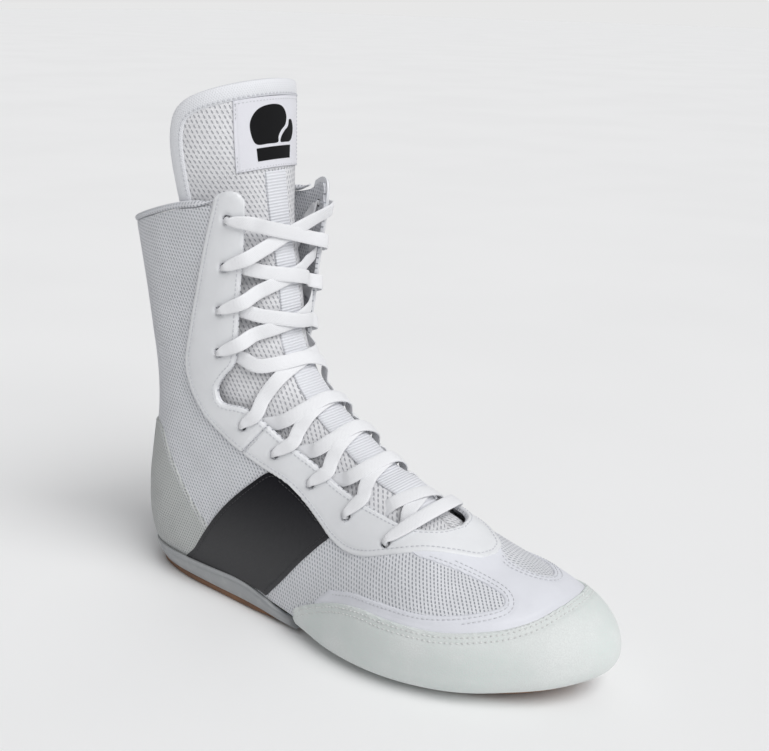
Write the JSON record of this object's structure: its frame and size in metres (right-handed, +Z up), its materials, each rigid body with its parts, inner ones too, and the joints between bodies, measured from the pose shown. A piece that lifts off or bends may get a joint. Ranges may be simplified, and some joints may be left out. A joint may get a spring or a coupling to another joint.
{
  "type": "boxing boot",
  "caption": "High-top laced boxing boot in white mesh with smooth eyestays, suede toe bumper, dark saddle bands, a tall padded tongue and a thin gum sole.",
  "frame": {"origin": "on the ground under the middle of the sole", "axes": "+X towards the toe, +Y towards the inner side of the foot, +Z up; the sole rests on Z = 0"},
  "size_m": [0.3016, 0.1047, 0.279],
  "materials": {
    "mesh": "matte",
    "synthetic": "satin",
    "suede": "matte",
    "black": "satin",
    "foxing": "satin",
    "gum": "satin",
    "board": "matte",
    "sockliner": "matte",
    "lining": "matte",
    "lace": "matte",
    "ribbon": "matte",
    "label": "satin",
    "aglet": "gloss"
  },
  "bodies": {
    "boot": {"outsole": "gum", "midsole_cup": "foxing", "insole_board": "board", "sockliner": "sockliner", "quarter_outer": "mesh", "quarter_inner": "mesh", "vamp": "mesh", "heel_counter": "board", "toe_puff": "board", "shaft_lining": "lining", "eyestay_upper_outer": "synthetic", "eyestay_upper_inner": "synthetic", "eyestay_lower": "synthetic", "toe_overlay": "synthetic", "toe_bumper": "suede", "heel_panel": "mesh", "saddle_band_outer": "black", "saddle_band_inner": "black", "collar_binding": "synthetic", "tongue": "mesh", "tongue_ribbon": "ribbon", "lace": "lace", "lace_tail_outer": "lace", "lace_tail_inner": "lace", "aglet_outer": "aglet", "aglet_inner": "aglet"},
    "tongue_flap": {"tongue_top": "mesh", "tongue_binding": "synthetic", "tongue_label": "label"}
  },
  "joints": [
    {"name": "tongue_fold", "type": "hinge", "parent": "boot", "child": "tongue_flap", "pos_m": [-0.0595, 0, 0.23], "axis": [0, 1, 0], "range_deg": [0, 40], "stiffness_Nm_per_rad": 0.03}
  ]
}
